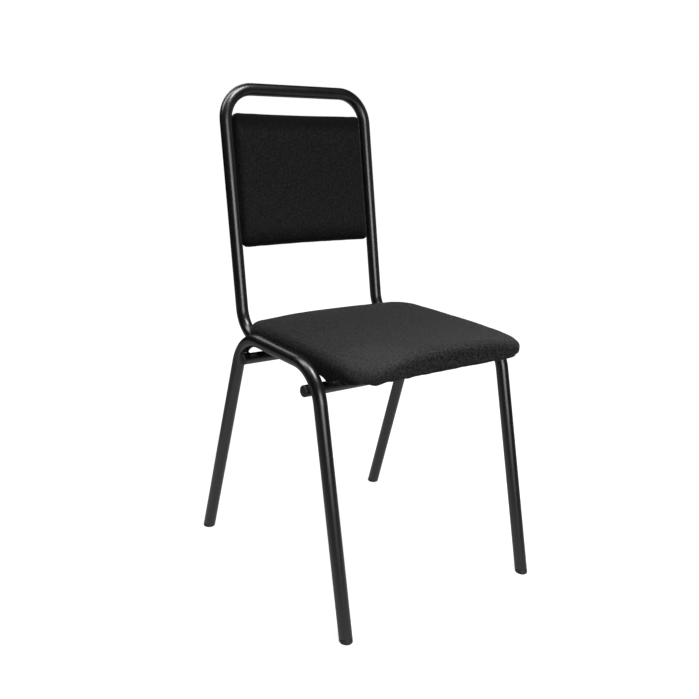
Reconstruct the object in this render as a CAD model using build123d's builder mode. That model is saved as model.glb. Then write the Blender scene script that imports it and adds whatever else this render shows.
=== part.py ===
from build123d import *
import os
from math import cos, radians, sin, sqrt, tan

# Stacking chair with a bent steel tube frame and two upholstered pads.
# Millimetres, +X to the right seen from the front, front towards -Y, +Z up,
# origin on the floor under the middle of the whole chair.

os.makedirs("parts", exist_ok=True)

# Tube stock and end fittings
tube_d = 22.0
tube_wall = 1.2
rail_d = 19.0
rail_wall = 1.2
plug_shank = 18.0
plug_lead = 6.0
plug_clearance = 0.1
plug_rim = 1.5

# Seat pad, which sets the width of the leg frames and of the back loop
seat_width = 362.0
seat_depth = 349.0
seat_corner_r = 54.0
seat_height = 36.4
seat_crown = 5.6
seat_top_roll = 16.0
seat_base_roll = 5.5
seat_board_t = 12.0
seat_side_gap = 4.0
seat_rail_in = 28.0
seat_rear_over = 1.4
seat_hem_past = 7.5

# Back pad, which fills the back loop between the uprights
back_height = 237.0
back_corner_r = 9.0
back_thick = 23.4
back_crown = 3.2
back_top_roll = 7.0
back_base_roll = 3.0
back_board_t = 8.0
back_side_gap = 2.5
back_hem_past = 12.5
lining_t = 1.6
lining_inset = 8.0

# Upholstery shared by both pads
cover_t = 1.2
side_pull = 1.0
foam_lip = 0.8
corner_keep = 0.3
crown_share = 0.8
fixing_clearance = 0.3

# Leg frames, one bent tube on each side
leg_spread = 450.0
front_splay = 0.5
rear_splay = 5.5
side_rail_z = 414.0
front_rake_deg = 14.7
rear_rake_deg = 15.7
leg_bend_r = 70.0
foot_collar = 7.0

# Back loop, one bent tube with the seat rails at its lower ends
recline_deg = 11.4
loop_top_z = 819.0
loop_top_r = 56.0
loop_low_r = 55.0
hand_gap = 41.8
seat_rail_drop = 18.6
seat_tilt_deg = 0.65
seat_rail_over = 29.5
upright_back = 182.0
seat_rail_plug = 3.0

# Cross rails nested in the bends of the leg frames
front_rail_over = 2.0
front_cap_head = 10.5
rear_rail_over = 7.0
rear_cap_head = 4.0

# Seat screws, up through the seat rails
seat_screw_d = 6.0
seat_screw_len = 15.5
seat_screw_y = 62.0
seat_head_d = 11.0
seat_head_t = 3.5
seat_access_d = 13.0

# Back tabs and back screws
back_screw_d = 5.0
back_screw_len = 12.5
back_screw_in = 28.0
back_screw_margin = 40.0
back_head_d = 9.0
back_head_t = 2.8
tab_t = 3.0
tab_height = 25.0
tab_nose = 13.0

# Tee nuts in the boards
nut_flange_t = 1.2
nut_wall = 1.0
nut_flange_over = 6.0
nut_reach = 0.8

# Widths that follow from the seat
side_rail_x = seat_width / 2 + seat_side_gap + tube_d / 2
front_foot_x = side_rail_x + front_splay
rear_foot_x = side_rail_x + rear_splay
upright_x = seat_width / 2 - seat_rail_in
back_width = 2 * (upright_x - tube_d / 2 - back_side_gap)
back_screw_x = upright_x - back_screw_in
back_screw_rise = back_height / 2 - back_screw_margin
tab_inner_x = back_screw_x - tab_nose
seat_hem = seat_width / 2 - seat_base_roll - upright_x + seat_hem_past
back_hem = back_width / 2 - back_base_roll - back_screw_x + back_hem_past

# Heights and slopes of the back loop, with y counted from the middle between the feet
tilt = radians(seat_tilt_deg)
lean = radians(recline_deg)
seat_rail_z = side_rail_z - seat_rail_drop
loop_corner_z = seat_rail_z - tan(tilt) * upright_back
loop_top_back = upright_back + tan(lean) * (loop_top_z - loop_corner_z)
low_bend_run = loop_low_r * tan((radians(90) - lean + tilt) / 2)
seat_rear = upright_back - low_bend_run * cos(tilt) + seat_rear_over
seat_front = seat_rear - seat_depth
back_mid_z = loop_top_z - hand_gap - back_height / 2 * cos(lean)


def nested_rail(rake_deg, end):
    """Axis (y, z) of a cross rail that lies inside the leg bends and under the seat rails."""
    rake = radians(rake_deg)
    bend_z = side_rail_z - leg_bend_r
    bend_y = end * (leg_spread / 2 - tan(rake) * bend_z - leg_bend_r / cos(rake))
    nest_r = leg_bend_r - (tube_d + rail_d) / 2
    under_z = seat_rail_z - (tube_d + rail_d) / 2 / cos(tilt)
    # Meeting of the circle inside the bend with the line under the seat rails, solved for y
    a = 1 + tan(tilt) ** 2
    b = -2 * bend_y - 2 * tan(tilt) * (under_z - bend_z)
    c = bend_y**2 + (under_z - bend_z) ** 2 - nest_r**2
    y = (-b + end * sqrt(b**2 - 4 * a * c)) / (2 * a)
    return y, under_z - tan(tilt) * y


front_rail_y, front_rail_z = nested_rail(front_rake_deg, -1)
rear_rail_y, rear_rail_z = nested_rail(rear_rake_deg, 1)
seat_rail_front = front_rail_y - seat_rail_over

# The chair is placed so that its overall box is centred on the origin.
front_reach = leg_spread / 2 + tube_d / 2 / cos(radians(front_rake_deg))
rear_reach = loop_top_back + tube_d / 2
mid_y = (front_reach - rear_reach) / 2

# Working planes of the two pads, local z out of the padded face
seat_plane = Plane(
    origin=(0, mid_y, seat_rail_z + tube_d / 2 / cos(tilt)),
    x_dir=(1, 0, 0),
    z_dir=(0, sin(tilt), cos(tilt)),
)
back_plane = Plane(
    origin=(0, mid_y + upright_back + tan(lean) * (back_mid_z - loop_corner_z), back_mid_z),
    x_dir=(1, 0, 0),
    z_dir=(0, -cos(lean), sin(lean)),
)
back_base = back_plane.offset(-tube_d / 2 + lining_t)

# Fixing points in the local coordinates of each pad
seat_points = [(sx * upright_x, sy * seat_screw_y) for sx in (-1, 1) for sy in (-1, 1)]
back_points = [(sx * back_screw_x, sy * back_screw_rise) for sx in (-1, 1) for sy in (-1, 1)]


def save(part, name):
    """Label one finished piece and write it out."""
    part.label = name
    export_step(part, "parts/" + name + ".step")


def end_plug(plane, tube, wall, head, rim):
    """Plastic tube end: tapered shank in the bore and a head as wide as the tube, facing plane z."""
    bore = tube - 2 * wall
    axis = Axis(plane.origin, plane.z_dir)
    with BuildPart() as plug:
        with BuildSketch(plane):
            Circle(tube / 2)
        extrude(amount=head)
        if rim > 0:
            chamfer(plug.edges().sort_by(axis)[-1], length=rim)
        with BuildSketch(plane):
            Circle(bore / 2 - plug_clearance)
        extrude(amount=-plug_shank)
        chamfer(plug.edges().sort_by(axis)[0], length=plug_lead, length2=plug_lead / 3)
    return plug.part


# Leg frames and their foot plugs
def leg_point(side, rake, foot_x, end, z):
    """Point at height z on the axis of a leg, end -1 for the front leg and +1 for the rear leg."""
    x = foot_x + (side_rail_x - foot_x) * z / side_rail_z
    return Vector(side * x, mid_y + end * (leg_spread / 2 - tan(radians(rake)) * z), z)


for label, side in (("left", -1), ("right", 1)):
    front_foot = leg_point(side, front_rake_deg, front_foot_x, -1, 0)
    front_corner = leg_point(side, front_rake_deg, front_foot_x, -1, side_rail_z)
    rear_corner = leg_point(side, rear_rake_deg, rear_foot_x, 1, side_rail_z)
    rear_foot = leg_point(side, rear_rake_deg, rear_foot_x, 1, 0)
    front_up = (front_corner - front_foot).normalized()
    rear_up = (rear_corner - rear_foot).normalized()
    front_end = front_foot + front_up * foot_collar
    rear_end = rear_foot + rear_up * foot_collar
    with BuildPart() as leg_frame:
        with BuildLine():
            leg_axis = FilletPolyline(front_end, front_corner, rear_corner, rear_end, radius=leg_bend_r)
        with BuildSketch(Plane(origin=leg_axis @ 0, z_dir=leg_axis % 0)):
            Circle(tube_d / 2)
            Circle(tube_d / 2 - tube_wall, mode=Mode.SUBTRACT)
        sweep()
    save(leg_frame.part, label + "_leg_frame")
    for end, tip, up in (("front", front_end, front_up), ("rear", rear_end, rear_up)):
        blank = end_plug(Plane(origin=tip, z_dir=-up), tube_d, tube_wall, foot_collar + tube_d / 2, 0)
        with BuildPart() as foot_plug:
            add(blank)
            split(bisect_by=Plane.XY, keep=Keep.TOP)
            chamfer(foot_plug.edges().group_by(Axis.Z)[0], length=plug_rim)
        save(foot_plug.part, end + "_" + label + "_foot")

# Back loop: seat rail, upright, top rail, upright and seat rail in one tube
loop_points = []
for side in (-1, 1):
    arm = [
        (side * upright_x, mid_y + seat_rail_front, seat_rail_z - tan(tilt) * seat_rail_front),
        (side * upright_x, mid_y + upright_back, loop_corner_z),
        (side * upright_x, mid_y + loop_top_back, loop_top_z),
    ]
    loop_points += arm if side < 0 else arm[::-1]
with BuildPart() as back_loop:
    with BuildLine():
        loop_axis = FilletPolyline(
            loop_points,
            radius=[loop_low_r, loop_top_r, loop_top_r, loop_low_r],
        )
    with BuildSketch(Plane(origin=loop_axis @ 0, z_dir=loop_axis % 0)):
        Circle(tube_d / 2)
        Circle(tube_d / 2 - tube_wall, mode=Mode.SUBTRACT)
    sweep()
    # Screw holes through the upper wall, wider access holes through the lower wall
    with BuildSketch(seat_plane):
        with Locations(seat_points):
            Circle(seat_screw_d / 2 + fixing_clearance)
    extrude(amount=-tube_d / 2, mode=Mode.SUBTRACT)
    with BuildSketch(seat_plane.offset(-tube_d / 2)):
        with Locations(seat_points):
            Circle(seat_access_d / 2)
    extrude(amount=-tube_d, mode=Mode.SUBTRACT)
save(back_loop.part, "back_loop")

for label, side in (("left", -1), ("right", 1)):
    rail_end = Plane(
        origin=(side * upright_x, mid_y + seat_rail_front, seat_rail_z - tan(tilt) * seat_rail_front),
        z_dir=(0, -cos(tilt), sin(tilt)),
    )
    save(end_plug(rail_end, tube_d, tube_wall, seat_rail_plug, plug_rim), label + "_seat_rail_plug")

# Cross rails: each lies against the inside of both leg bends and the underside of both seat rails
for label, rail_y, rail_z, over, head in (
    ("front", front_rail_y, front_rail_z, front_rail_over, front_cap_head),
    ("rear", rear_rail_y, rear_rail_z, rear_rail_over, rear_cap_head),
):
    half = side_rail_x + over
    with BuildPart() as cross_rail:
        with BuildSketch(Plane(origin=(-half, mid_y + rail_y, rail_z), z_dir=(1, 0, 0))):
            Circle(rail_d / 2)
            Circle(rail_d / 2 - rail_wall, mode=Mode.SUBTRACT)
        extrude(amount=2 * half)
    save(cross_rail.part, label + "_cross_rail")
    for name, side in (("left", -1), ("right", 1)):
        cap_plane = Plane(origin=(side * half, mid_y + rail_y, rail_z), z_dir=(side, 0, 0))
        save(end_plug(cap_plane, rail_d, rail_wall, head, plug_rim), label + "_" + name + "_rail_cap")

# Back tabs: flat steel lugs behind the uprights
for low_high, sy in (("lower", -1), ("upper", 1)):
    for label, side in (("left", -1), ("right", 1)):
        with BuildPart() as tab:
            with BuildSketch(back_plane.offset(-tube_d / 2 - tab_t)):
                with Locations((side * (tab_inner_x + upright_x) / 2, sy * back_screw_rise)):
                    RectangleRounded(upright_x - tab_inner_x, tab_height, tab_height / 5)
                with Locations((side * back_screw_x, sy * back_screw_rise)):
                    Circle(back_screw_d / 2 + fixing_clearance, mode=Mode.SUBTRACT)
            extrude(amount=tab_t)
        save(tab.part, low_high + "_" + label + "_back_tab")


# Pads: a board, foam over it and a cover drawn round both and turned in under the board
def pad_outline(plane, width, low, high, corner, inset):
    """Pad outline on a plane: sides pulled in slightly between rounded corners, drawn in by inset."""
    x = width / 2 - inset
    y0 = low + inset
    y1 = high - inset
    with BuildSketch(plane) as outline:
        with BuildLine():
            ThreePointArc((-x, y0), (0, y0 + side_pull), (x, y0))
            ThreePointArc((x, y0), (x - side_pull, (y0 + y1) / 2), (x, y1))
            ThreePointArc((x, y1), (0, y1 - side_pull), (-x, y1))
            ThreePointArc((-x, y1), (-x + side_pull, (y0 + y1) / 2), (-x, y0))
        make_face()
        fillet(outline.vertices(), radius=max(corner - inset, corner * corner_keep))
    return outline.sketch


def pad_slab(plane, width, low, high, corner, inset, amount):
    """Flat slab of the pad outline, standing on the plane."""
    face = pad_outline(plane, width, low, high, corner, inset)
    with BuildPart() as slab:
        extrude(face, amount=amount, dir=plane.z_dir)
    return slab.part


def pad_form(plane, width, low, high, corner, height, crown, top_roll, base_roll, skin):
    """Crowned pad body with rolled edges, lofted up through its outlines; skin draws in the layer below."""
    span = min(width, high - low) / 2
    edge_z = height - crown
    steps = []
    # Base roll from the flat underside out to the side
    for part in (0, 1, 2):
        turn = radians(90 - 45 * part)
        steps.append((base_roll - (base_roll - skin) * sin(turn), base_roll - (base_roll - skin) * cos(turn)))
    # Top roll from the side in to the padded face
    for part in (0, 1, 2, 3, 4):
        turn = radians(22.5 * part)
        steps.append((edge_z - top_roll + (top_roll - skin) * sin(turn), top_roll - (top_roll - skin) * cos(turn)))
    # Crown from the roll to the flat middle
    for part in (1, 2, 3):
        share = part / 3
        rise = crown * (1 - (1 - share) ** 2)
        steps.append((edge_z - skin + rise, top_roll + (span * crown_share - top_roll) * share))
    faces = [pad_outline(plane.offset(h), width, low, high, corner, inset) for h, inset in steps]
    with BuildPart() as form:
        loft(faces, ruled=True)
    return form.part


def fixing_pins(plane, points, d, amount):
    """Round pins at the fixing points, standing on the plane; used to cut holes and pockets."""
    with BuildPart() as pins:
        with BuildSketch(plane):
            with Locations(points):
                Circle(d / 2)
        extrude(amount=amount)
    return pins.part


def tee_nuts(plane, points, screw_d, barrel_d, depth):
    """Flanged barrels let into a board, flange on the plane and barrel going down from it."""
    with BuildPart() as nuts:
        with BuildSketch(plane):
            with Locations(points):
                Circle(barrel_d / 2 + nut_flange_over)
        extrude(amount=nut_flange_t)
        with BuildSketch(plane):
            with Locations(points):
                Circle(barrel_d / 2 - plug_clearance)
        extrude(amount=-depth)
        with BuildSketch(plane.offset(nut_flange_t)):
            with Locations(points):
                Circle((screw_d + fixing_clearance) / 2)
        extrude(amount=-nut_flange_t - depth, mode=Mode.SUBTRACT)
    return nuts.part


def screws(plane, points, d, length, head_d, head_t):
    """Round headed screws, head under the plane and shank along its z."""
    with BuildPart() as group:
        with BuildSketch(plane):
            with Locations(points):
                Circle(head_d / 2)
        extrude(amount=-head_t)
        chamfer(group.edges().group_by(Axis(plane.origin, plane.z_dir))[0], length=head_t / 3)
        with BuildSketch(plane):
            with Locations(points):
                Circle(d / 2)
        extrude(amount=length)
    return group.part


def build_pad(name, base, size, rolls, hem, board_t, points, screw_d):
    """Cover, foam, board and tee nuts of one pad, stacked up from its base plane."""
    height, crown, top_roll, base_roll = rolls
    board_base = base.offset(cover_t)
    board_top = base.offset(cover_t + board_t)
    hole_d = screw_d + 2 * fixing_clearance
    barrel_d = hole_d + 2 * nut_wall
    outer = pad_form(base, *size, *rolls, 0)
    inner = pad_form(base, *size, *rolls, cover_t)
    window = pad_slab(base, *size, base_roll + hem, cover_t)
    board_blank = pad_slab(board_base, *size, base_roll + foam_lip, board_t)
    hem_holes = fixing_pins(base, points, hole_d, cover_t)
    barrel_holes = fixing_pins(board_base, points, barrel_d, board_t)
    flange_pockets = fixing_pins(board_top, points, barrel_d + 2 * nut_flange_over, nut_flange_t)
    with BuildPart() as cover:
        add(outer)
        add(inner, mode=Mode.SUBTRACT)
        # Window left open by the turned-in hem, and the holes punched through the hem
        add(window, mode=Mode.SUBTRACT)
        add(hem_holes, mode=Mode.SUBTRACT)
    save(cover.part, name + "_cover")
    with BuildPart() as board:
        add(board_blank)
        add(barrel_holes, mode=Mode.SUBTRACT)
    save(board.part, name + "_board")
    with BuildPart() as foam:
        add(inner)
        add(board_blank, mode=Mode.SUBTRACT)
        # Pockets pressed into the foam by the nut flanges
        add(flange_pockets, mode=Mode.SUBTRACT)
    save(foam.part, name + "_foam")
    save(tee_nuts(board_top, points, screw_d, barrel_d, board_t * nut_reach), name + "_tee_nuts")


# Seat pad on the seat rails, its screw heads inside the rails against the curved upper wall
seat_size = (seat_width, seat_front, seat_rear, seat_corner_r)
seat_rolls = (seat_height, seat_crown, seat_top_roll, seat_base_roll)
build_pad("seat", seat_plane, seat_size, seat_rolls, seat_hem, seat_board_t, seat_points, seat_screw_d)
bore_r = tube_d / 2 - tube_wall
head_seat = seat_plane.offset(sqrt(bore_r**2 - (seat_head_d / 2) ** 2) - tube_d / 2)
save(screws(head_seat, seat_points, seat_screw_d, seat_screw_len, seat_head_d, seat_head_t), "seat_screws")

# Back pad between the uprights, with a lining over its hem held under the tabs
back_size = (back_width, -back_height / 2, back_height / 2, back_corner_r)
back_rolls = (back_thick, back_crown, back_top_roll, back_base_roll)
build_pad("back", back_base, back_size, back_rolls, back_hem, back_board_t, back_points, back_screw_d)
lining_base = back_plane.offset(-tube_d / 2)
lining_blank = pad_slab(lining_base, *back_size, lining_inset, lining_t)
lining_holes = fixing_pins(lining_base, back_points, back_screw_d + 2 * fixing_clearance, lining_t)
with BuildPart() as back_lining:
    add(lining_blank)
    add(lining_holes, mode=Mode.SUBTRACT)
save(back_lining.part, "back_lining")
tab_back = back_plane.offset(-tube_d / 2 - tab_t)
save(screws(tab_back, back_points, back_screw_d, back_screw_len, back_head_d, back_head_t), "back_screws")
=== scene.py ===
from math import cos, hypot, pi, radians, sin, tan

import bpy
import numpy as np
from mathutils import Matrix, Vector


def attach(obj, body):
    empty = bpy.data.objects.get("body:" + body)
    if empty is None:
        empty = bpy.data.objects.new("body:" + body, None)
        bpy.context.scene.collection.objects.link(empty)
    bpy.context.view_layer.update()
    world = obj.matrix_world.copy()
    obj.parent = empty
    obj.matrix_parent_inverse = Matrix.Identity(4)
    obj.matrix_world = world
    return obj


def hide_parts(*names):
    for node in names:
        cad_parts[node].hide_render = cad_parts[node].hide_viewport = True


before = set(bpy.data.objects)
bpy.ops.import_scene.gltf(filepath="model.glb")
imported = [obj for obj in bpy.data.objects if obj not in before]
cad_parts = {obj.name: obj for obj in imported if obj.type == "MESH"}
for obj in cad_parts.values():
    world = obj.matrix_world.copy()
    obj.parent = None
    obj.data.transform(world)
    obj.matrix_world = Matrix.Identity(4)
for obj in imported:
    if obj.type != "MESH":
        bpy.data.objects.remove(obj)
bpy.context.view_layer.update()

# Frame tubes: the back loop that ends in the seat rails, a leg frame on each side, two cross rails
# and the four tabs behind the back pad. Drawn steel tube and strip, bent, welded into one frame and
# powder coated satin black, which leaves a faint orange peel.
mid_y = -0.021228
tube_r = 0.011
rail_r = 0.0095


class Signal:
    """One socket among a finish's nodes, so that shader maths reads as an expression."""

    def __init__(self, finish, socket):
        self.finish = finish
        self.socket = socket

    def math(self, operation, *terms):
        return self.finish.node("ShaderNodeMath", {"operation": operation}, dict(enumerate(terms)))

    def __add__(self, other):
        return self.math("ADD", self, other)

    def __radd__(self, other):
        return self.math("ADD", other, self)

    def __sub__(self, other):
        return self.math("SUBTRACT", self, other)

    def __rsub__(self, other):
        return self.math("SUBTRACT", other, self)

    def __mul__(self, other):
        return self.math("MULTIPLY", self, other)

    def __rmul__(self, other):
        return self.math("MULTIPLY", other, self)

    def sine(self):
        return self.math("SINE", self)

    def over(self, other):
        return self.math("MAXIMUM", self, other)

    def above(self, low, high):
        """0 below low, 1 over high and a smooth step between them."""
        settings = {"interpolation_type": "SMOOTHSTEP"}
        return self.finish.node("ShaderNodeMapRange", settings, {"Value": self, 1: low, 2: high})


class Finish:
    """The nodes of one material or world, built from expressions on signals."""

    def __init__(self, owner, constants=None):
        owner.use_nodes = True
        self.owner = owner
        self.nodes = owner.node_tree.nodes
        self.links = owner.node_tree.links
        self.shader = self.nodes.get("Principled BSDF")
        for label, value in (constants or {}).items():
            self.shader.inputs[label].default_value = value

    def node(self, kind, settings=None, sockets=None, out=0):
        made = self.nodes.new(kind)
        for label, value in (settings or {}).items():
            setattr(made, label, value)
        for label, value in (sockets or {}).items():
            self.join(value, made.inputs[label])
        return Signal(self, made.outputs[out])

    def join(self, value, socket):
        if isinstance(value, Signal):
            self.links.new(value.socket, socket)
        else:
            socket.default_value = value

    def feed(self, label, value):
        self.join(value, self.shader.inputs[label])

    def place(self, scale=(1, 1, 1)):
        """Coordinates on the piece in metres, stretched."""
        here = self.node("ShaderNodeTexCoord", out="Object")
        return self.stretch(here, scale)

    def stretch(self, where, scale):
        return self.node("ShaderNodeMapping", {}, {"Vector": where, "Scale": scale})

    def noise(self, where, scale, detail=2.0, rough=0.5):
        sockets = {"Vector": where, "Scale": scale, "Detail": detail, "Roughness": rough}
        return self.node("ShaderNodeTexNoise", {}, sockets)

    def tint(self, share, first, second):
        """Colour that goes from the first to the second as share goes from 0 to 1."""
        sockets = {0: share, 6: (*first, 1), 7: (*second, 1)}
        return self.node("ShaderNodeMix", {"data_type": "RGBA"}, sockets, 2)

    def relief(self, height, depth, strength=1.0):
        sockets = {"Height": height, "Distance": depth, "Strength": strength}
        self.feed("Normal", self.node("ShaderNodeBump", {}, sockets))


def new_finish(name, **constants):
    return Finish(bpy.data.materials.new(name), {k.replace("_", " "): v for k, v in constants.items()})


powder_coat = new_finish("powder_coat", IOR=1.5, Specular_IOR_Level=0.9)
spot = powder_coat.place()
cloud = powder_coat.noise(spot, 38.0, 3.0)
peel = powder_coat.noise(spot, 720.0, 2.0)
dust = powder_coat.noise(spot, 2600.0, 1.0).above(0.66, 0.78)
powder_coat.feed("Base Color", powder_coat.tint(cloud, (0.003, 0.003, 0.0035), (0.008, 0.008, 0.0085)))
powder_coat.feed("Roughness", 0.27 + 0.06 * cloud + 0.08 * dust)
powder_coat.relief(peel, 0.000006, 0.5)


def dress(names, finish):
    """Give CAD pieces their finish."""
    for name in names:
        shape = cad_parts[name].data
        shape.materials.clear()
        shape.materials.append(finish.owner)


dress(["back_loop", "left_leg_frame", "right_leg_frame", "front_cross_rail", "rear_cross_rail"], powder_coat)
dress([f"{row}_{side}_back_tab" for row in ("upper", "lower") for side in ("left", "right")], powder_coat)

# Weld beads: a run of weld round each place where a cross rail touches a leg bend or a seat rail,
# and a short run down the outer edge of each tab. Laid in small overlapping drops and painted over.
weld_r = 0.002
weld_drop = 0.0026
weld_ring = 0.0072
tab_weld_r = 0.0017
tab_weld_half = 0.0095
tab_weld_out = 0.0008
tab_weld_behind = 0.012
side_rail_x = 0.196
upright_x = 0.153
bend_inside = 0.059
rail_axes = ((-0.10012, 0.37604, -0.06238), (0.09513, 0.37382, 0.05560))
bend_z = 0.344
back_lean = radians(11.4)
back_mid = (0, mid_y + 0.23598, 0.66104)
tab_rise = 0.0785


def add_piece(name, points, faces, finish, slot):
    """New mesh piece that rides with the chair."""
    shape = bpy.data.meshes.new(name)
    shape.from_pydata([tuple(map(float, p)) for p in points], [], faces)
    shape.polygons.foreach_set("use_smooth", [True] * len(shape.polygons))
    shape.materials.append(finish.owner)
    piece = bpy.data.objects.new(name, shape)
    bpy.context.scene.collection.objects.link(piece)
    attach(piece, "root")
    return piece


def sweep_bead(path, normal, radius, closed, sides=10):
    """Round bar along a path, with its radius given at each point; ends are drawn to a point."""
    path = np.array(path)
    count = len(path)
    if closed:
        along = np.roll(path, -1, 0) - np.roll(path, 1, 0)
    else:
        along = np.gradient(path, axis=0)
    along /= np.linalg.norm(along, axis=1)[:, None]
    out = np.cross(along, normal)
    out /= np.linalg.norm(out, axis=1)[:, None]
    rise = np.cross(out, along)
    points, faces = [], []
    for k in range(count):
        for n in range(sides):
            turn = 2 * pi * n / sides
            points.append(path[k] + radius[k] * (cos(turn) * out[k] + sin(turn) * rise[k]))
    for k in range(count if closed else count - 1):
        near, far = k * sides, (k + 1) % count * sides
        faces += [[near + n, far + n, far + (n + 1) % sides, near + (n + 1) % sides] for n in range(sides)]
    if not closed:
        faces += [list(range(sides)), list(range((count - 1) * sides, count * sides))[::-1]]
    return points, faces


def join_up(groups):
    """One list of points and one of faces from several pieces."""
    points, faces = [], []
    for more, quads in groups:
        faces += [[v + len(points) for v in quad] for quad in quads]
        points += list(more)
    return points, faces


def weld_round(spot, normal, rail_way, tube_way, start):
    """Ring of weld in the gap between two crossing tubes that touch at spot."""
    path, radius = [], []
    for k in range(64):
        turn = 2 * pi * k / 64
        out = weld_ring + 0.0004 * sin(2 * turn + start) + 0.0003 * sin(3 * turn + 2 * start)
        along, across = out * cos(turn), out * sin(turn)
        height = (along**2 / tube_r - across**2 / rail_r) / 4
        path.append(np.array(spot) + along * rail_way + across * tube_way + height * normal)
        radius.append(weld_r * (1 + 0.1 * sin(2 * pi * out * turn / weld_drop)))
    return sweep_bead(path, normal, radius, True)


welds = []
rail_way = np.array([1.0, 0, 0])
for place, (rail_y, rail_z, bend_y) in enumerate(rail_axes):
    lean = np.array([0, rail_y - bend_y, rail_z - bend_z])
    lean /= np.linalg.norm(lean)
    bend_way = np.cross(lean, rail_way)
    for side in (-1, 1):
        touch = np.array([side * side_rail_x, mid_y + bend_y, bend_z]) + bend_inside * lean
        welds.append(weld_round(touch, lean, rail_way, bend_way, 1.3 * place + side))
        under = (side * upright_x, mid_y + rail_y, rail_z + rail_r)
        up = np.array([0, 0, 1.0])
        welds.append(weld_round(under, up, rail_way, np.array([0, 1.0, 0]), 0.7 * place - side))
behind = np.array([0, cos(back_lean), -sin(back_lean)])
upward = np.array([0, sin(back_lean), cos(back_lean)])
for side in (-1, 1):
    for rise in (-tab_rise, tab_rise):
        foot = np.array(back_mid) + (side * (upright_x + tab_weld_out), 0, 0) + tab_weld_behind * behind + rise * upward
        run = np.linspace(-tab_weld_half, tab_weld_half, 40)
        taper = np.sqrt(1.02 - (run / tab_weld_half) ** 2) ** 0.6
        radius = tab_weld_r * (1 + 0.1 * np.sin(2 * pi * run / weld_drop)) * taper
        welds.append(sweep_bead([foot + r * upward for r in run], behind, radius, False))
add_piece("weld_beads", *join_up(welds), powder_coat, "frame_paint")

# Seat cushion: woven cloth pulled by hand over a moulded foam slab and turned in under the plywood board.
# The foam crowns the top and rounds the edges. The pull of the hem puckers the lower edge, and the cloth
# droops at the sides and near the front left corner.
seat_tilt = radians(0.65)
seat_base_z = 0.4064
seat_width = 0.362
seat_front = -0.21113
seat_rear = 0.13787
seat_corners = (0.054, 0.054, 0.046, 0.034)
seat_drop = ((3.4, 2.8), (3.4, 3.0), (0.1, 3.0), (0.8, 3.0))
seat_front_fall = -0.9
seat_left_sag = 0.6
seat_height = 0.0359
seat_crown = 0.0073
seat_steps = 34
seat_top_roll = 0.0130
seat_base_roll = 0.0055
seat_hem = 0.030
seat_board = 0.012
cover = 0.0012
board_lip = 0.0008
side_pull = 0.001
corner_keep = 0.3
crown_limit = 3.0
foam_pressure = 4.0
swell_limit = 0.0015
yarn_pitch = 0.0013
# Centre of the painted highlight on the seat's cloth, near its front left corner.
painted_light_corner = (-0.125, -0.175, 0.0)


def pad_ring(half, low, high, corners, steps, bow):
    """Points round a pad's edge with the way out, in four sides that meet at the corners' middles."""
    ends = [(-half, low, 1, 1), (half, low, -1, 1), (half, high, -1, -1), (-half, high, 1, -1)]
    points = []
    for side in range(4):
        facing = radians(90 * side - 90)
        way = np.array([cos(facing), sin(facing)])
        r0, r1 = corners[side], corners[(side + 1) % 4]
        (x0, y0, u0, v0), (x1, y1, u1, v1) = ends[side], ends[(side + 1) % 4]
        start = np.array([x0 + u0 * r0, y0 + v0 * r0])
        end = np.array([x1 + u1 * r1, y1 + v1 * r1])
        run = abs((end - start) @ np.array([-way[1], way[0]]))
        for step in range(steps):
            along = (run + (r0 + r1) * pi / 4) * step / steps
            if along < r0 * pi / 4:
                angle, base, reach = facing - pi / 4 + along / r0, start, r0
            elif along < r0 * pi / 4 + run:
                share = (along - r0 * pi / 4) / run
                angle, base, reach = facing, start + (end - start) * share, r0 + (r1 - r0) * share
            else:
                angle, base, reach = facing + (along - r0 * pi / 4 - run) / r1, end, r1
            out = np.array([cos(angle), sin(angle)])
            pull = bow * sin(pi * step / steps) ** 2
            points.append(np.concatenate([base + out * reach - way * pull, out]))
    return np.array(points)


def grid_faces(half_steps, ring_start, flip):
    """Quads of a pad's face whose rings of points run inwards, ring after ring, to one middle point."""

    def index(i, j):
        ring = max(abs(i - half_steps), abs(j - half_steps))
        if ring == 0:
            return ring_start[0]
        low, high = half_steps - ring, half_steps + ring
        if j == low and i < high:
            spot = i - low
        elif i == high and j < high:
            spot = 2 * ring + j - low
        elif j == high and i > low:
            spot = 4 * ring + high - i
        else:
            spot = 6 * ring + high - j
        return ring_start[ring] + spot

    quads = []
    for i in range(2 * half_steps):
        for j in range(2 * half_steps):
            quad = [index(i, j), index(i + 1, j), index(i + 1, j + 1), index(i, j + 1)]
            quads.append(quad[::-1] if flip else quad)
    return quads


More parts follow.
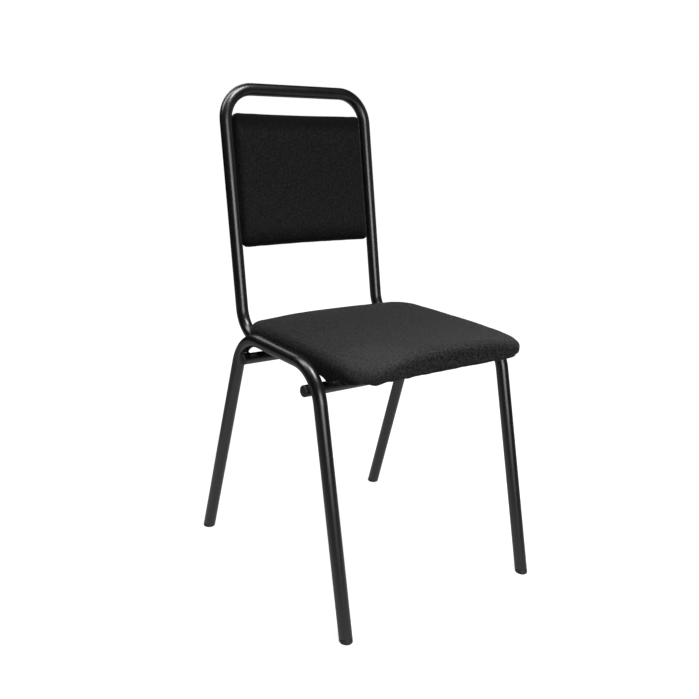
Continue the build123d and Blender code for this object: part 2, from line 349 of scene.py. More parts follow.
def pad_mesh(
    half, low, high, corners, drop, front_fall, left_sag, height, crown, top_roll, base_roll, hem, board,
    half_steps, lower_edge,
):
    """Closed upholstered pad as points (x, y, height), flat cloth places, faces, held points and sharp rings."""
    steps = 2 * half_steps
    middle = np.array([0.0, (low + high) / 2])
    reach = np.array([half, (high - low) / 2])

    def outline(inset, count=steps):
        keep = [max(corner - inset, corner_keep * corner) for corner in corners]
        return pad_ring(half - inset, low + inset, high - inset, keep, count, side_pull)

    def crowned(points):
        share = (points - middle) / reach
        front = share[:, 1] < 0
        kept = np.column_stack([np.ones(len(share)), np.where(front, front_fall, 1.0)])
        fall = 0.35 * (kept * share**2).sum(1) + 0.25 * (kept * share**2).max(1) + 0.4 * (kept * share**6).sum(1)
        corner = np.where(front, 0, 3) + np.where(share[:, 0] < 0, 0, 1) * np.where(front, 1, -1)
        amount, power = np.array(drop)[corner].T
        fall += amount * np.abs(share.prod(1)) ** power + left_sag * np.clip(-share[:, 0], 0, 1) ** 3
        return height - crown * crown_limit * np.tanh(fall / crown_limit)

    rim = outline(0.0)
    edge = crowned(rim[:, :2])
    travel = np.cumsum(np.linalg.norm(np.roll(rim[:, :2], -1, 0) - rim[:, :2], axis=1))
    turning = np.abs(np.cross(np.roll(rim[:, 2:], -1, 0), np.roll(rim[:, 2:], 1, 0)))
    cornered = np.clip(turning / turning.max(), 0, 1)
    pucker, rise, fold = lower_edge(rim, travel, cornered)

    spots, flats, faces, held, sharp = [], [], [], [], []

    def add_ring(plan, heights, flat):
        first = sum(len(s) for s in spots)
        spots.append(np.column_stack([plan, heights]))
        flats.append(flat)
        return first

    def add_face(inset, ring_height, flip):
        starts = {}
        for ring in range(half_steps, 0, -1):
            plan = middle + (outline(inset, 2 * ring)[:, :2] - middle) * ring / half_steps
            heights = crowned(plan) if ring_height is None else np.full(len(plan), ring_height)
            starts[ring] = add_ring(plan, heights, plan)
        plan = middle[None, :]
        heights = crowned(plan) if ring_height is None else np.array([ring_height])
        starts[0] = add_ring(plan, heights, plan)
        faces.extend(grid_faces(half_steps, starts, flip))
        return starts[half_steps]

    top_edge = crowned(outline(top_roll)[:, :2])
    last = add_face(top_roll, None, False)
    around = len(rim)
    flat_from = outline(top_roll)[:, :2]
    spread = 0.0

    def skirt(plan, heights, grow):
        nonlocal last, spread
        spread += grow
        first = add_ring(plan, heights, flat_from + rim[:, 2:] * spread)
        for k in range(around):
            n = (k + 1) % around
            faces.append([last + k, first + k, first + n, last + n])
        last = first
        return list(range(first, first + around))

    roll_steps = 6
    deep = np.minimum(top_roll, 0.6 * (edge - base_roll - rise))
    for k in range(1, roll_steps + 1):
        turn = pi / 2 * k / roll_steps
        shape = outline(top_roll * (1 - sin(turn)))[:, :2]
        skirt(shape, edge - deep + (top_edge - edge + deep) * cos(turn), top_roll * pi / 2 / roll_steps)
    wall_steps = 5
    wall = edge - deep - base_roll - rise
    for k in range(1, wall_steps + 1):
        share = k / wall_steps
        pull = pucker * share**2 * 0.6 + fold * (k == 2)
        shape = outline(0.0)
        skirt(shape[:, :2] - shape[:, 2:] * pull[:, None], edge - deep - wall * share, wall.mean() / wall_steps)
    for k in range(1, 4):
        turn = pi / 2 * k / 3
        shape = outline(base_roll * (1 - cos(turn)))
        lift = pucker * 0.5 * sin(turn) + rise
        plan = shape[:, :2] - shape[:, 2:] * (pucker * 0.8 * cos(turn))[:, None]
        skirt(plan, base_roll * (1 - sin(turn)) + lift, base_roll * pi / 6)
    hem_steps = 5
    for k in range(1, hem_steps + 1):
        share = k / hem_steps
        settle = (pucker * 0.5 + rise) * max(1 - 2.5 * share, 0)
        ring = skirt(outline(base_roll + hem * share)[:, :2], settle, hem / hem_steps)
        if k > 1:
            held += ring
    sharp.append(ring)
    ring = skirt(outline(base_roll + hem)[:, :2], np.full(around, cover), cover)
    held += ring
    sharp.append(ring)
    ring = skirt(outline(base_roll + board_lip)[:, :2], np.full(around, cover), hem)
    held += ring
    sharp.append(ring)
    ring = skirt(outline(base_roll + board_lip)[:, :2], np.full(around, cover + board), board)
    held += ring
    sharp.append(ring)
    inner_start = sum(len(s) for s in spots)
    inner = add_face(base_roll + board_lip, cover + board, True)
    for k in range(around):
        n = (k + 1) % around
        faces.append([last + k, inner + k, inner + n, last + n])
    held += list(range(inner_start, sum(len(s) for s in spots)))
    # The inner face repeats the last ring, so its rim is joined to it
    points = np.vstack(spots)
    flat = np.vstack(flats)
    swap = {inner + k: last + k for k in range(around)}
    faces = [[swap.get(v, v) for v in quad] for quad in faces]
    faces = [quad for quad in faces if len(set(quad)) == 4]
    keep = [v for v in range(len(points)) if v not in swap]
    renumber = {v: k for k, v in enumerate(keep)}
    faces = [[renumber[v] for v in quad] for quad in faces]
    held = sorted({renumber[v] for v in held if v in renumber})
    sharp = [[renumber[v] for v in ring] for ring in sharp]
    return points[keep], flat[keep], faces, held, sharp


def lay_cloth(piece, flat):
    """Keep each point's place on the flat cloth, which the weave follows."""
    layer = piece.data.attributes.new("cloth", "FLOAT_VECTOR", "POINT")
    layer.data.foreach_set("vector", np.column_stack([flat, np.zeros(len(flat))]).astype(np.float32).ravel())


def keep_sharp(piece, rings):
    """Crease the edges that run along these rings of points."""
    where = np.full(len(piece.data.vertices), -1)
    for mark, ring in enumerate(rings):
        where[ring] = mark
    ends = np.zeros(len(piece.data.edges) * 2, np.int32)
    piece.data.edges.foreach_get("vertices", ends)
    ends = ends.reshape(-1, 2)
    along = (where[ends[:, 0]] >= 0) & (where[ends[:, 0]] == where[ends[:, 1]])
    layer = piece.data.attributes.new("crease_edge", "FLOAT", "EDGE")
    layer.data.foreach_set("value", along.astype(np.float32))


def puff(piece, held, pressure, limit):
    """Let the foam's pressure swell the cloth cover, held at its hem, with the movement capped."""
    count = len(piece.data.vertices)
    rest = np.zeros(count * 3, np.float32)
    piece.data.vertices.foreach_get("co", rest)
    piece.vertex_groups.new(name="held").add(held, 1.0, "ADD")
    swell = piece.modifiers.new("swell", "CLOTH")
    swell.settings.quality = 5
    swell.settings.mass = 0.2
    swell.settings.use_pressure = True
    swell.settings.uniform_pressure_force = pressure
    swell.settings.effector_weights.gravity = 0
    swell.settings.vertex_group_mass = "held"
    swell.point_cache.frame_start = 1
    swell.point_cache.frame_end = 20
    for step in range(1, 21):
        bpy.context.scene.frame_set(step)
    swollen = np.zeros(count * 3, np.float32)
    settled = piece.evaluated_get(bpy.context.evaluated_depsgraph_get())
    settled.data.vertices.foreach_get("co", swollen)
    piece.modifiers.remove(swell)
    bpy.context.scene.frame_set(1)
    move = (swollen - rest).reshape(-1, 3)
    reach = np.maximum(np.linalg.norm(move, axis=1), 1e-9)
    move *= (limit * np.tanh(reach / limit) / reach)[:, None]
    piece.data.vertices.foreach_set("co", rest + move.ravel())
    piece.data.update()


def upholster(piece, flat, held, sharp):
    lay_cloth(piece, flat)
    keep_sharp(piece, sharp)
    puff(piece, held, foam_pressure, swell_limit)
    finer = piece.modifiers.new("finer", "SUBSURF")
    finer.levels = 1
    finer.render_levels = 1


def woven_cloth(name, tone, painted_shade_axis, painted_shade_band, front_painted_light, corner_painted_light):
    """Plain weave of black yarn with slubs and a soft nap, with painted shade near its edges along one axis, painted
    light growing towards the low end of along and a painted highlight round one spot.
    """
    cloth = new_finish(name, Sheen_Weight=0.1, Sheen_Roughness=0.35, Specular_IOR_Level=0.1)
    where = cloth.node("ShaderNodeAttribute", {"attribute_name": "cloth"}, out="Vector")
    parts = cloth.node("ShaderNodeSeparateXYZ", {}, {0: where})
    across = Signal(cloth, parts.socket.node.outputs[0])
    along = Signal(cloth, parts.socket.node.outputs[1])
    wander = cloth.noise(where, 55.0, 1.0) * 0.0012
    weave = (pi / yarn_pitch * (across + wander)).sine() * (pi / yarn_pitch * (along + wander)).sine()
    slub = cloth.noise(cloth.stretch(where, (1.0, 0.07, 1.0)), 620.0, 2.0)
    weft = cloth.noise(cloth.stretch(where, (0.1, 1.0, 1.0)), 520.0, 2.0)
    fuzz = cloth.noise(where, 2400.0, 2.0)
    fleck = cloth.noise(where, 230.0, 4.0, 0.85)
    shade = 0.19 + 0.12 * weave + 0.7 * (slub - 0.5) + 0.5 * (weft - 0.5) + 2.6 * (fleck - 0.5) + 0.17 * fuzz
    # Painted shade: the cloth is darker near the pad's edges along the given axis, where the rolled edges get less
    # light.
    shade_edge_coord = (across, along)[painted_shade_axis]
    shade = shade - 0.45 * shade_edge_coord.math("ABSOLUTE", shade_edge_coord).above(*painted_shade_band)
    # Painted light: paler from along about +0.08 towards along -0.2 (the seat's front, the back's bottom), fading out
    # again beyond 0.206 m.
    ahead = -1.0 * along
    shade = shade + front_painted_light * ahead.above(-0.08, 0.2) * (1.0 - ahead.above(0.206, 0.218))
    # Painted highlight: a paler round patch within about 0.015 to 0.08 m of the corner spot.
    ends = {0: where, 1: painted_light_corner}
    from_corner = cloth.node("ShaderNodeVectorMath", {"operation": "DISTANCE"}, ends, "Value")
    shade = shade + corner_painted_light * (1.0 - from_corner.above(0.015, 0.08))
    dark = tuple(0.3 * c for c in tone)
    pale = tuple(3.0 * c for c in tone)
    cloth.feed("Base Color", cloth.tint(shade, dark, pale))
    cloth.feed("Roughness", 0.72 + 0.2 * fuzz)
    cloth.relief(0.5 * weave + 0.5 * slub + 0.35 * fuzz, 0.0004, 0.5)
    return cloth


hem_wave = 0.047
hem_wander = 0.31
hem_pleat = 0.0125
seat_tucks = (-0.142, -0.083, -0.058, 0.021, 0.094)
tuck_depth = 0.0016
tuck_reach = 0.005
corner_lift = (0.005, 0.0075)
side_hang = 0.013
front_hang = 0.0005
front_fold = 0.0009
seat_droops = (
    (-0.158, 0.0127, 0.022), (-0.120, 0.0013, 0.010), (-0.087, 0.0020, 0.008), (-0.055, 0.0011, 0.006),
    (-0.022, 0.0006, 0.007),
)
seat_side_droops = ((-0.124, 0.0065, 0.011), (-0.154, -0.0046, 0.016))


def seat_lower_edge(rim, travel, cornered):
    """How far the hem draws the lower edge in, how far that edge rises, and the fold along the front."""
    x, y, out_x, out_y = rim.T
    wave = 0.5 + 0.5 * np.sin(2 * pi * travel / hem_wave + 1.9 * np.sin(2 * pi * travel / hem_wander))
    pleat = 0.5 + 0.5 * np.sin(2 * pi * travel / hem_pleat)
    draw = 0.0007 * wave**2 * (1 - 0.6 * cornered) + 0.0014 * cornered * pleat
    ahead = out_y < -0.9
    for tuck in seat_tucks:
        draw += tuck_depth * ahead * np.exp(-(((x - tuck) / tuck_reach) ** 2))
    sideways = np.clip((np.abs(out_x) - 0.55) / 0.45, 0, 1)
    frontal = np.clip((-out_y - 0.6) / 0.4, 0, 1)
    leftward = np.clip((-out_x - 0.5) / 0.4, 0, 1)
    rise = np.where(x < 0, *corner_lift) * cornered * (y < 0) - side_hang * sideways**2 * (3 - 2 * sideways)
    rise -= front_hang * frontal
    for place, depth, reach in seat_droops:
        rise -= depth * frontal * np.exp(-(((x - place) / reach) ** 2))
    for place, depth, reach in seat_side_droops:
        rise -= depth * leftward * np.exp(-(((y - place) / reach) ** 2))
    fold = front_fold * ahead * (0.6 + 0.4 * np.sin(2 * pi * x / 0.13)) * (x > -0.1)
    return draw, rise, fold


# The seat's cloth: painted shade along its left and right sides, painted light growing towards the front and a painted
# highlight near the front left corner.
seat_cloth = woven_cloth("seat_cloth", (0.0213, 0.0213, 0.0218), 0, (0.181, 0.200), front_painted_light=0.22, corner_painted_light=0.2)
points, flat, faces, held, sharp = pad_mesh(
    seat_width / 2, seat_front, seat_rear, seat_corners, seat_drop, seat_front_fall, seat_left_sag, seat_height,
    seat_crown, seat_top_roll, seat_base_roll, seat_hem, seat_board, seat_steps, seat_lower_edge,
)
lie = np.array([[1, 0, 0], [0, cos(seat_tilt), -sin(seat_tilt)], [0, sin(seat_tilt), cos(seat_tilt)]])
seat = add_piece("seat_cushion", points @ lie + (0, mid_y, seat_base_z), faces, seat_cloth, "upholstery")
upholster(seat, flat, held, sharp)
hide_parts("seat_cover", "seat_foam")

# Back cushion: the same cloth, in a copy coloured about three times darker as painted shade, over a thinner foam slab
# on an 8 mm plywood board.
# It fills the loop between the uprights and is screwed to the tabs behind them.
back_width = 0.279
back_height = 0.2395
back_corners = (0.009,) * 4
back_drop = ((0.8, 3.0),) * 4
back_thick = 0.0234
back_crown = 0.0032
back_top_roll = 0.012
back_base_roll = 0.003
back_hem = 0.024
back_board = 0.008
back_depth = 0.0094
back_steps = 26


def back_lower_edge(rim, travel, cornered):
    """The same for the back, whose lower edge neither rises nor folds."""
    wave = 0.5 + 0.5 * np.sin(2 * pi * travel / 0.039 + 1.4 * np.sin(2 * pi * travel / 0.23))
    return 0.0004 * wave**2 * (1 - cornered) + 0.0006 * cornered, 0.0 * travel, 0.0 * travel


points, flat, faces, held, sharp = pad_mesh(
    back_width / 2, -back_height / 2, back_height / 2, back_corners, back_drop, 1.0, 0.0, back_thick, back_crown,
    back_top_roll, back_base_roll, back_hem, back_board, back_steps, back_lower_edge,
)
stand = np.array([[1, 0, 0], [0, sin(back_lean), cos(back_lean)], [0, -cos(back_lean), sin(back_lean)]])
points[:, 2] -= back_depth
# The back's cloth: the seat's cloth with its tone set about three times darker as painted shade, painted shade along
# its top and bottom edges and painted light growing towards its bottom.
backrest_cloth_painted_dark = woven_cloth("backrest_cloth_painted_dark", (0.0075, 0.0075, 0.0078), 1, (0.080, 0.112), front_painted_light=0.3, corner_painted_light=0.0)
back = add_piece("back_cushion", points @ stand + back_mid, faces, backrest_cloth_painted_dark, "upholstery")
upholster(back, flat, held, sharp)
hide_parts("back_cover", "back_foam")

# Boards and fixings inside the pads: birch plywood pressed flat, and zinc plated screws and tee nuts.
# The tee nuts are driven into the boards before the foam is glued on, and the screws come up from outside.
plywood = new_finish("plywood")
grain = plywood.noise(plywood.place((4, 60, 60)), 6.0, 4.0, 0.6)
plywood.feed("Base Color", plywood.tint(grain, (0.36, 0.23, 0.12), (0.62, 0.44, 0.26)))
plywood.feed("Roughness", 0.55 + 0.2 * grain)
plywood.relief(grain, 0.0002, 0.4)
dress(["seat_board", "back_board"], plywood)

zinc = new_finish("zinc", Metallic=1.0)
bloom = zinc.noise(zinc.place(), 400.0, 3.0)
zinc.feed("Base Color", zinc.tint(bloom, (0.42, 0.42, 0.4), (0.68, 0.67, 0.64)))
zinc.feed("Roughness", 0.28 + 0.2 * bloom)
dress(["seat_screws", "seat_tee_nuts", "back_screws", "back_tee_nuts"], zinc)

# Tube ends: moulded black polyethylene plugs in the feet and the cross rails, softer ones in the seat rails, whose
# colour is set about ten times darker as painted shade for the dark end of the tube.
# A tapered shank is pressed into the bore and a fine spark-eroded grain covers the head.
moulded = new_finish("moulded_plastic", IOR=1.5)
speck = moulded.noise(moulded.place(), 1900.0, 2.0)
moulded.feed("Base Color", moulded.tint(speck, (0.012, 0.012, 0.012), (0.03, 0.03, 0.03)))
moulded.feed("Roughness", 0.42 + 0.2 * speck)
moulded.relief(speck, 0.00006, 0.6)
# Painted shade: the seat rails' plugs are coloured about ten times darker than the other plugs.
painted_dark_plug = new_finish("soft_plug_plastic", Specular_IOR_Level=0.15)
speck = painted_dark_plug.noise(painted_dark_plug.place(), 1900.0, 2.0)
painted_dark_plug.feed("Base Color", painted_dark_plug.tint(speck, (0.0012, 0.0012, 0.0012), (0.003, 0.003, 0.003)))
painted_dark_plug.feed("Roughness", 0.55 + 0.2 * speck)
plug_sides = 40
leg_half = 0.225
foot_bore = 0.0096
foot_collar = 0.007
foot_rim = 0.0026
rail_bore = 0.0083
cap_rim = 0.0018
cap_dome = 0.0006
tube_bore = 0.0098
stop_rim = 0.0012
stop_dome = 0.0004
side_rail_z = 0.414
legs = {"front": (-1, 14.7, 0.1965), "rear": (1, 15.7, 0.2015)}
caps = {"front": (0.0020, 0.0118), "rear": (0.0070, 0.0040)}
seat_rail_front = -0.12962
seat_rail_z = 0.3954
seat_rail_plug = 0.003


def turned(rows, sides=plug_sides):
    """Faces of rings of points that follow each other, closed by a point at the last row."""
    faces = []
    for k in range(len(rows) - 1):
        near, far = k * sides, (k + 1) * sides
        faces += [[near + n, near + (n + 1) % sides, far + (n + 1) % sides, far + n] for n in range(sides)]
    tip = len(rows) * sides
    faces += [[tip - sides + n, tip - sides + (n + 1) % sides, tip] for n in range(sides)]
    return faces


def head_profile(radius, bore, head, rim, dome):
    """Distance along the axis and radius of a plug's head, from inside the bore to near its domed end."""
    profile = [(-0.004, bore - 0.0002), (0.0001, bore - 0.0002), (0.0001, radius - 0.0006)]
    profile += [(0.0004, radius - 0.0002), (0.0009, radius), (head - rim - dome, radius)]
    for k in range(1, 6):
        turn = pi / 2 * k / 5
        profile.append((head - rim - dome + rim * sin(turn), radius - rim * (1 - cos(turn))))
    for share in (0.75, 0.45, 0.2):
        profile.append((head - dome * share**2, (radius - rim) * share))
    return profile


def turn_plug(name, tip, way, profile, node, finish):
    """Plug turned about the axis that leaves the tube at tip."""
    way = np.array(way) / np.linalg.norm(way)
    side = np.cross(way, (0, 0, 1) if abs(way[2]) < 0.9 else (1, 0, 0))
    side /= np.linalg.norm(side)
    over = np.cross(way, side)
    points = []
    for along, radius in profile:
        for n in range(plug_sides):
            turn = 2 * pi * n / plug_sides
            points.append(np.array(tip) + along * way + radius * (cos(turn) * side + sin(turn) * over))
    points.append(np.array(tip) + profile[-1][0] * way)
    plug = add_piece(name, points, turned(profile), finish, "plug_plastic")
    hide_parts(node)


for end, (toward, rake, foot_x) in legs.items():
    rail_y, rail_z, bend_y = rail_axes[toward > 0]
    over, head = caps[end]
    for side, hand in (("left", -1), ("right", 1)):
        foot = np.array([hand * foot_x, mid_y + toward * leg_half, 0.0])
        up = np.array([hand * (side_rail_x - foot_x), -toward * tan(radians(rake)) * side_rail_z, side_rail_z])
        up /= np.linalg.norm(up)
        across = np.cross(up, (0, 1, 0))
        across /= np.linalg.norm(across)
        front = np.cross(across, up)
        rows = [("tube", 0.004, foot_bore), ("tube", -0.0001, foot_bore), ("tube", -0.0001, tube_r - 0.0006)]
        rows += [("tube", -0.0004, tube_r - 0.0002), ("tube", -0.0009, tube_r)]
        for k in range(6):
            turn = pi / 2 * k / 5
            rows.append(("floor", foot_rim * (1 - sin(turn)), tube_r - foot_rim * (1 - cos(turn))))
        rows += [("floor", 0.0, 0.005)]
        points = []
        for level, along, radius in rows:
            for n in range(plug_sides):
                turn = 2 * pi * n / plug_sides
                out = radius * (cos(turn) * across + sin(turn) * front)
                base = foot_collar if level == "tube" else -out[2] / up[2]
                points.append(foot + out + (base + along) * up)
        points.append(foot)
        plug = add_piece(f"{end}_{side}_foot_plug", points, turned(rows), moulded, "plug_plastic")
        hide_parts(f"{end}_{side}_foot")
        tip = (hand * (side_rail_x + over), mid_y + rail_y, rail_z)
        profile = head_profile(rail_r, rail_bore, head, cap_rim, cap_dome)
        turn_plug(f"{end}_{side}_end_cap", tip, (hand, 0, 0), profile, f"{end}_{side}_rail_cap", moulded)
for side, hand in (("left", -1), ("right", 1)):
    tip = (hand * upright_x, mid_y + seat_rail_front, seat_rail_z - tan(seat_tilt) * seat_rail_front)
    profile = head_profile(tube_r, tube_bore, seat_rail_plug, stop_rim, stop_dome)
    way = (0, -cos(seat_tilt), sin(seat_tilt))
    turn_plug(f"{side}_seat_rail_stop", tip, way, profile, f"{side}_seat_rail_plug", painted_dark_plug)

# Back lining: a black spunbond sheet over the hem at the rear of the back pad, its edges turned under.
# It is stapled to the board, sinks a little inside the hem and lies under the four tabs.
lining_inset = 0.008
lining_t = 0.0016
lining_corner = 0.006
lining_fold = 0.0012
lining_border = 0.012
lining_steps = 24
lining_half = back_width / 2 - lining_inset
lining_rise = back_height / 2 - lining_inset
lining_cloth = new_finish("lining_cloth", Specular_IOR_Level=0.2)
lining_place = lining_cloth.place()
fibre = lining_cloth.noise(lining_place, 900.0, 3.0)
web = lining_cloth.noise(lining_place, 210.0, 2.0)
lining_cloth.feed("Base Color", lining_cloth.tint(0.6 * fibre + 0.4 * web, (0.008, 0.008, 0.009), (0.03, 0.03, 0.031)))
lining_cloth.feed("Roughness", 0.7 + 0.25 * fibre)
lining_cloth.relief(0.6 * fibre + 0.4 * web, 0.0003, 0.5)


def lining_mesh():
    """Thin closed sheet with a rounded fold at its edge, as points (x, y, height) and faces."""

    def ring_at(inset, count):
        keep = [max(lining_corner - inset, 0.002)] * 4
        low, high = -lining_rise + inset, lining_rise - inset
        return pad_ring(lining_half - inset, low, high, keep, count, 0.0006)[:, :2]

    points, faces = [], []
    starts = {}

    def add_side(heights, flip):
        for ring in range(lining_steps, -1, -1):
            starts[ring] = len(points)
            if ring == 0:
                points.append((0.0, 0.0, heights(np.zeros(2), 0.0)))
                continue
            for spot in ring_at(lining_fold, 2 * ring) * ring / lining_steps:
                inside = min(lining_half - abs(spot[0]), lining_rise - abs(spot[1]))
                points.append((*spot, heights(spot, inside)))
        faces.extend(grid_faces(lining_steps, starts, flip))
        return starts[lining_steps]

    def outer(spot, inside):
        sink = np.clip((inside - lining_border) / 0.014, 0, 1)
        ripple = 0.00012 * sin(spot[0] * 160 + 2 * sin(spot[1] * 50)) * sink
        return -lining_t + 0.00105 * sink**2 * (3 - 2 * sink) + ripple

    def inner(spot, inside):
        return min(outer(spot, inside) + 0.0009, -0.0001) if inside > lining_border else -0.0001

    rear = add_side(outer, True)
    front = add_side(inner, False)
    rim = len(points)
    around = 8 * lining_steps
    for spot in ring_at(0.0, 2 * lining_steps):
        points.append((*spot, -lining_t / 2))
    for k in range(around):
        n = (k + 1) % around
        faces.append([rear + k, rear + n, rim + n, rim + k])
        faces.append([rim + k, rim + n, front + n, front + k])
    return np.array(points), faces


points, faces = lining_mesh()
points[:, 2] -= back_depth
lining = add_piece("back_lining_cloth", points @ stand + back_mid, faces, lining_cloth, "upholstery")
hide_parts("back_lining")

# Staples: flat zinc wire driven through the seat's hem into the board and round the edge of the lining.
# Each crown stands its own thickness proud and dimples the cloth, and its legs go straight in.
staple_half = 0.005
staple_r = 0.0005
hem_staple_in = 0.026
hem_staple_step = 0.031
rail_clear = 0.014
lining_staple_in = 0.005
lining_staple_step = 0.034


def staple(spot, along, proud):
    """Wire staple with its crown over spot, lying along one way and standing proud of the cloth."""
    along, proud = np.array(along), np.array(proud)
    leg = [(-1, -0.0016), (-1, -0.0004), (-0.93, 0.0003), (-0.75, 0.0005)]
    wire = leg + [(0, 0.0005)] + [(-share, height) for share, height in leg[::-1]]
    path = [np.array(spot) + staple_half * share * along + height * proud for share, height in wire]
    return sweep_bead(path, np.cross(along, proud), [staple_r] * len(path), False, 6)


def staple_row(half, low, high, inset, spacing):
    """Places (x, y) and ways along the edge for staples set in from a pad's four sides."""
    for x0, y0, x1, y1 in (
        (-half, low, half, low), (half, low, half, high), (half, high, -half, high), (-half, high, -half, low),
    ):
        run = hypot(x1 - x0, y1 - y0)
        way = np.array([(x1 - x0) / run, (y1 - y0) / run])
        inward = np.array([-way[1], way[0]])
        count = int((run - 2 * inset) / spacing)
        for k in range(count + 1):
            along = run / 2 + (k - count / 2) * spacing
            yield np.array([x0, y0]) + way * along + inward * (inset + 0.0015 * sin(9.1 * k + x0 * 70)), way


down = np.array([0, 0, -1.0])
tacks = []
for place, way in staple_row(seat_width / 2, seat_front, seat_rear, hem_staple_in, hem_staple_step):
    if abs(abs(place[0]) - upright_x) >= rail_clear:
        tacks.append(staple(np.array([*place, 0]), [*way, 0], down))
points, faces = join_up(tacks)
add_piece("seat_staples", np.array(points) @ lie + (0, mid_y, seat_base_z), faces, zinc, "zinc_steel")
tacks = []
for place, way in staple_row(lining_half, -lining_rise, lining_rise, lining_staple_in, lining_staple_step):
    tacks.append(staple(np.array([*place, -lining_t - back_depth]), [*way, 0], down))
points, faces = join_up(tacks)
add_piece("lining_staples", np.array(points) @ stand + back_mid, faces, zinc, "zinc_steel")

# Back screws: zinc plated steel with pan heads and a cross recess.
# Each is driven through its tab and the lining into a tee nut in the back board.
screw_x = 0.125
head_r = 0.0045
head_t = 0.0028
shank_r = 0.0025
shank_len = 0.0125
tab_back = 0.014
recess_half = 0.00075
recess_depth = 0.0015


def screw_mesh():
    """Screw standing on its head's seat at the origin, head towards -z and shank towards +z."""
    sides = 48
    rows = [(shank_len, 0.0012), (shank_len - 0.0012, shank_r), (0.0, shank_r), (0.0, head_r)]
    rows += [(-0.0006, head_r), (-0.0014, 0.96 * head_r), (-0.0021, 0.85 * head_r), (-0.0026, 0.66 * head_r)]
    rows += [(-head_t, share * head_r) for share in (0.56, 0.46, 0.36, 0.27, 0.18, 0.09)]
    points = []
    for height, radius in rows:
        for n in range(sides):
            turn = 2 * pi * n / sides
            x, y = radius * cos(turn), radius * sin(turn)
            slot = min(abs(x), abs(y)) < recess_half and radius < 0.5 * head_r and height < -0.0026
            points.append((x, y, height + (recess_depth if slot else 0.0)))
    points.append((0, 0, -head_t + 0.0016))
    faces = turned(rows, sides)
    return np.array(points + [(0, 0, shank_len)]), faces + [[(n + 1) % sides, n, len(points)] for n in range(sides)]


screw_points, screw_faces = screw_mesh()
fitted = []
for hand in (-1, 1):
    for rise in (-tab_rise, tab_rise):
        spin = 1.1 * hand + 7.0 * rise
        twist = np.array([[cos(spin), sin(spin), 0], [-sin(spin), cos(spin), 0], [0, 0, 1]])
        fitted.append((screw_points @ twist + (hand * screw_x, rise, -tab_back), screw_faces))
points, faces = join_up(fitted)
screws = add_piece("back_pan_screws", np.array(points) @ stand + back_mid, faces, zinc, "zinc_steel")
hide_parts("back_screws")

# Camera: at the photograph's place, in front of the chair, to its left and level with the back's top.
# The place, turn and lens come from the outlines of the tubes.
camera = bpy.data.objects.new("camera", bpy.data.cameras.new("camera"))
bpy.context.scene.collection.objects.link(camera)
camera.data.sensor_width = 36.0
camera.data.lens = 44.536
yaw, pitch, roll = -0.6426, 0.2826, 0.0476
turn = Matrix.Rotation(yaw, 4, "Z") @ Matrix.Rotation(pi / 2 - pitch, 4, "X") @ Matrix.Rotation(roll, 4, "Z")
camera.matrix_world = Matrix.Translation((-0.9082352, -1.1698295, 0.8121221)) @ turn
bpy.context.scene.camera = camera

# Studio floor: a broad pale sheet of paper just below the feet.
# It shows white to the lens and keeps a faint shadow near the chair. In reflections its colour drops and a painted
# reflection glows on it, brighter near the chair and dimmer further off.
floor_size = 30.0
floor_drop = 0.0002
floor = bpy.data.objects.new("studio_floor", bpy.data.meshes.new("studio_floor"))
corners = ((-1, -1), (1, -1), (1, 1), (-1, 1))
floor.data.from_pydata([(x * floor_size, y * floor_size, -floor_drop) for x, y in corners], [], [(0, 1, 2, 3)])
bpy.context.scene.collection.objects.link(floor)
paper = new_finish("studio_paper", Roughness=1.0, Specular_IOR_Level=0.0)


def seen_white(finish, share):
    """1 for rays from the lens, a share of that in reflections, 0 for light that falls on things."""
    path = finish.node("ShaderNodeLightPath").socket.node.outputs
    lens, gloss, through = (Signal(finish, path[f"Is {kind} Ray"]) for kind in ("Camera", "Glossy", "Transmission"))
    return lens.over(share * gloss).over(through)


gloss = Signal(paper, paper.node("ShaderNodeLightPath").socket.node.outputs["Is Glossy Ray"])
# In reflections the paper's colour drops from 0.55 to 0.12.
paper.feed("Base Color", paper.tint(gloss, (0.55, 0.55, 0.55), (0.12, 0.12, 0.12)))
from_chair = paper.node("ShaderNodeVectorMath", {"operation": "LENGTH"}, {0: paper.place()}, "Value")
# Painted reflection: the floor glows in reflections only, at 0.5 within about 0.5 m of the chair, falling to 0.22
# beyond 0.85 m.
painted_reflection_pool = 0.5 - 0.28 * from_chair.above(0.5, 0.85)
white = 0.9 + 0.1 * from_chair.above(0.8, 1.6)
glow = paper.node("ShaderNodeEmission", {}, {"Color": (1, 1, 1, 1), "Strength": white * seen_white(paper, painted_reflection_pool)})
sheet = paper.node("ShaderNodeAddShader", {}, {0: Signal(paper, paper.shader.outputs[0]), 1: glow})
paper.join(sheet, paper.nodes["Material Output"].inputs["Surface"])
floor.data.materials.append(paper.owner)

# Surroundings: the white studio round the set.
# They show white to the lens and in reflections, and throw a low even light on the chair.
world = bpy.data.worlds.new("surroundings")
bpy.context.scene.world = world
sky = Finish(world)
backing = sky.nodes["Background"]
backing.inputs["Color"].default_value = (1, 1, 1, 1)
sky.join(0.03 + 0.97 * seen_white(sky, 0.4), backing.inputs["Strength"])

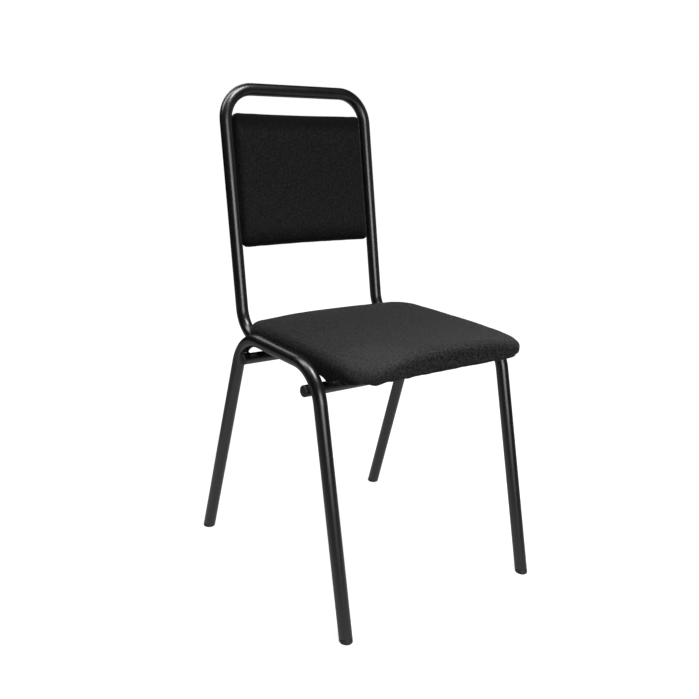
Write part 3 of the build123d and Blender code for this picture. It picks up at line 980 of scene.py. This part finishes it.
# Dark drapes: black cloth hung in a ring round the set, with a lid of the same cloth.
# They stand outside the picture and give the tubes their dark sides.
drape_r, drape_top, drape_sides = 3.2, 3.0, 48
turns = [2 * pi * k / drape_sides for k in range(drape_sides)]
spots = [(drape_r * cos(turn), drape_r * sin(turn), height) for height in (0, drape_top) for turn in turns]
nexts = [(k, (k + 1) % drape_sides) for k in range(drape_sides)]
walls = [(k, n, drape_sides + n, drape_sides + k) for k, n in nexts]
drape = bpy.data.objects.new("studio_drapes", bpy.data.meshes.new("studio_drapes"))
drape.data.from_pydata(spots, [], walls + [tuple(range(drape_sides, 2 * drape_sides))])
bpy.context.scene.collection.objects.link(drape)
drape.visible_camera = False
drape.visible_shadow = False
drape_cloth = new_finish("drape_cloth", Roughness=1.0, Base_Color=(0.02, 0.02, 0.02, 1))
drape.data.materials.append(drape_cloth.owner)

# Pale board: a painted sheet that stands on the right, outside the picture.
# It bounces the lamps on to the seat and lifts the far sides of the tubes.
board_x, board_half, board_low, board_top = 1.4, 0.9, 0.05, 1.5
board = bpy.data.objects.new("white_board", bpy.data.meshes.new("white_board"))
corners = ((-board_half, board_low), (board_half, board_low), (board_half, board_top), (-board_half, board_top))
board.data.from_pydata([(board_x, y, z) for y, z in corners], [], [(0, 1, 2, 3)])
bpy.context.scene.collection.objects.link(board)
board.visible_camera = False
board.visible_shadow = False
board_paint = new_finish("board_paint", Roughness=1.0, Base_Color=(0.3, 0.3, 0.3, 1))
board.data.materials.append(board_paint.owner)


# Softboxes: a large one by the lens for the long highlights on the tubes, and one overhead for the seat.
# A strip on the left, which only shows in reflections, lights the bends, and one at the rear the back edges.
def softbox(name, spot, aim, width, height, power):
    """Rectangular lamp at spot that faces aim."""
    lamp = bpy.data.objects.new(name, bpy.data.lights.new(name, "AREA"))
    lamp.data.shape = "RECTANGLE"
    lamp.data.size = width
    lamp.data.size_y = height
    lamp.data.energy = power
    lamp.visible_camera = False
    bpy.context.scene.collection.objects.link(lamp)
    way = Vector(aim) - Vector(spot)
    lamp.matrix_world = Matrix.Translation(spot) @ way.to_track_quat("-Z", "Y").to_matrix().to_4x4()
    return lamp


softbox("front_softbox", (-0.45, -2.2, 1.05), (0, 0, 0.6), 1.4, 1.1, 24.0)
softbox("top_softbox", (-0.05, -0.4, 1.9), (0.0, -0.2, 0.44), 0.64, 0.6, 18.5)
strip = softbox("strip_softbox", (-0.8, 0.5, 1.9), (-0.2, 0.1, 0.4), 0.45, 1.5, 14.5)
strip.visible_diffuse = False
softbox("rear_softbox", (0.1, 2.3, 2.15), (0.0, 0.0, 0.45), 1.7, 0.9, 10.5)

bpy.context.scene.view_settings.view_transform = "Standard"
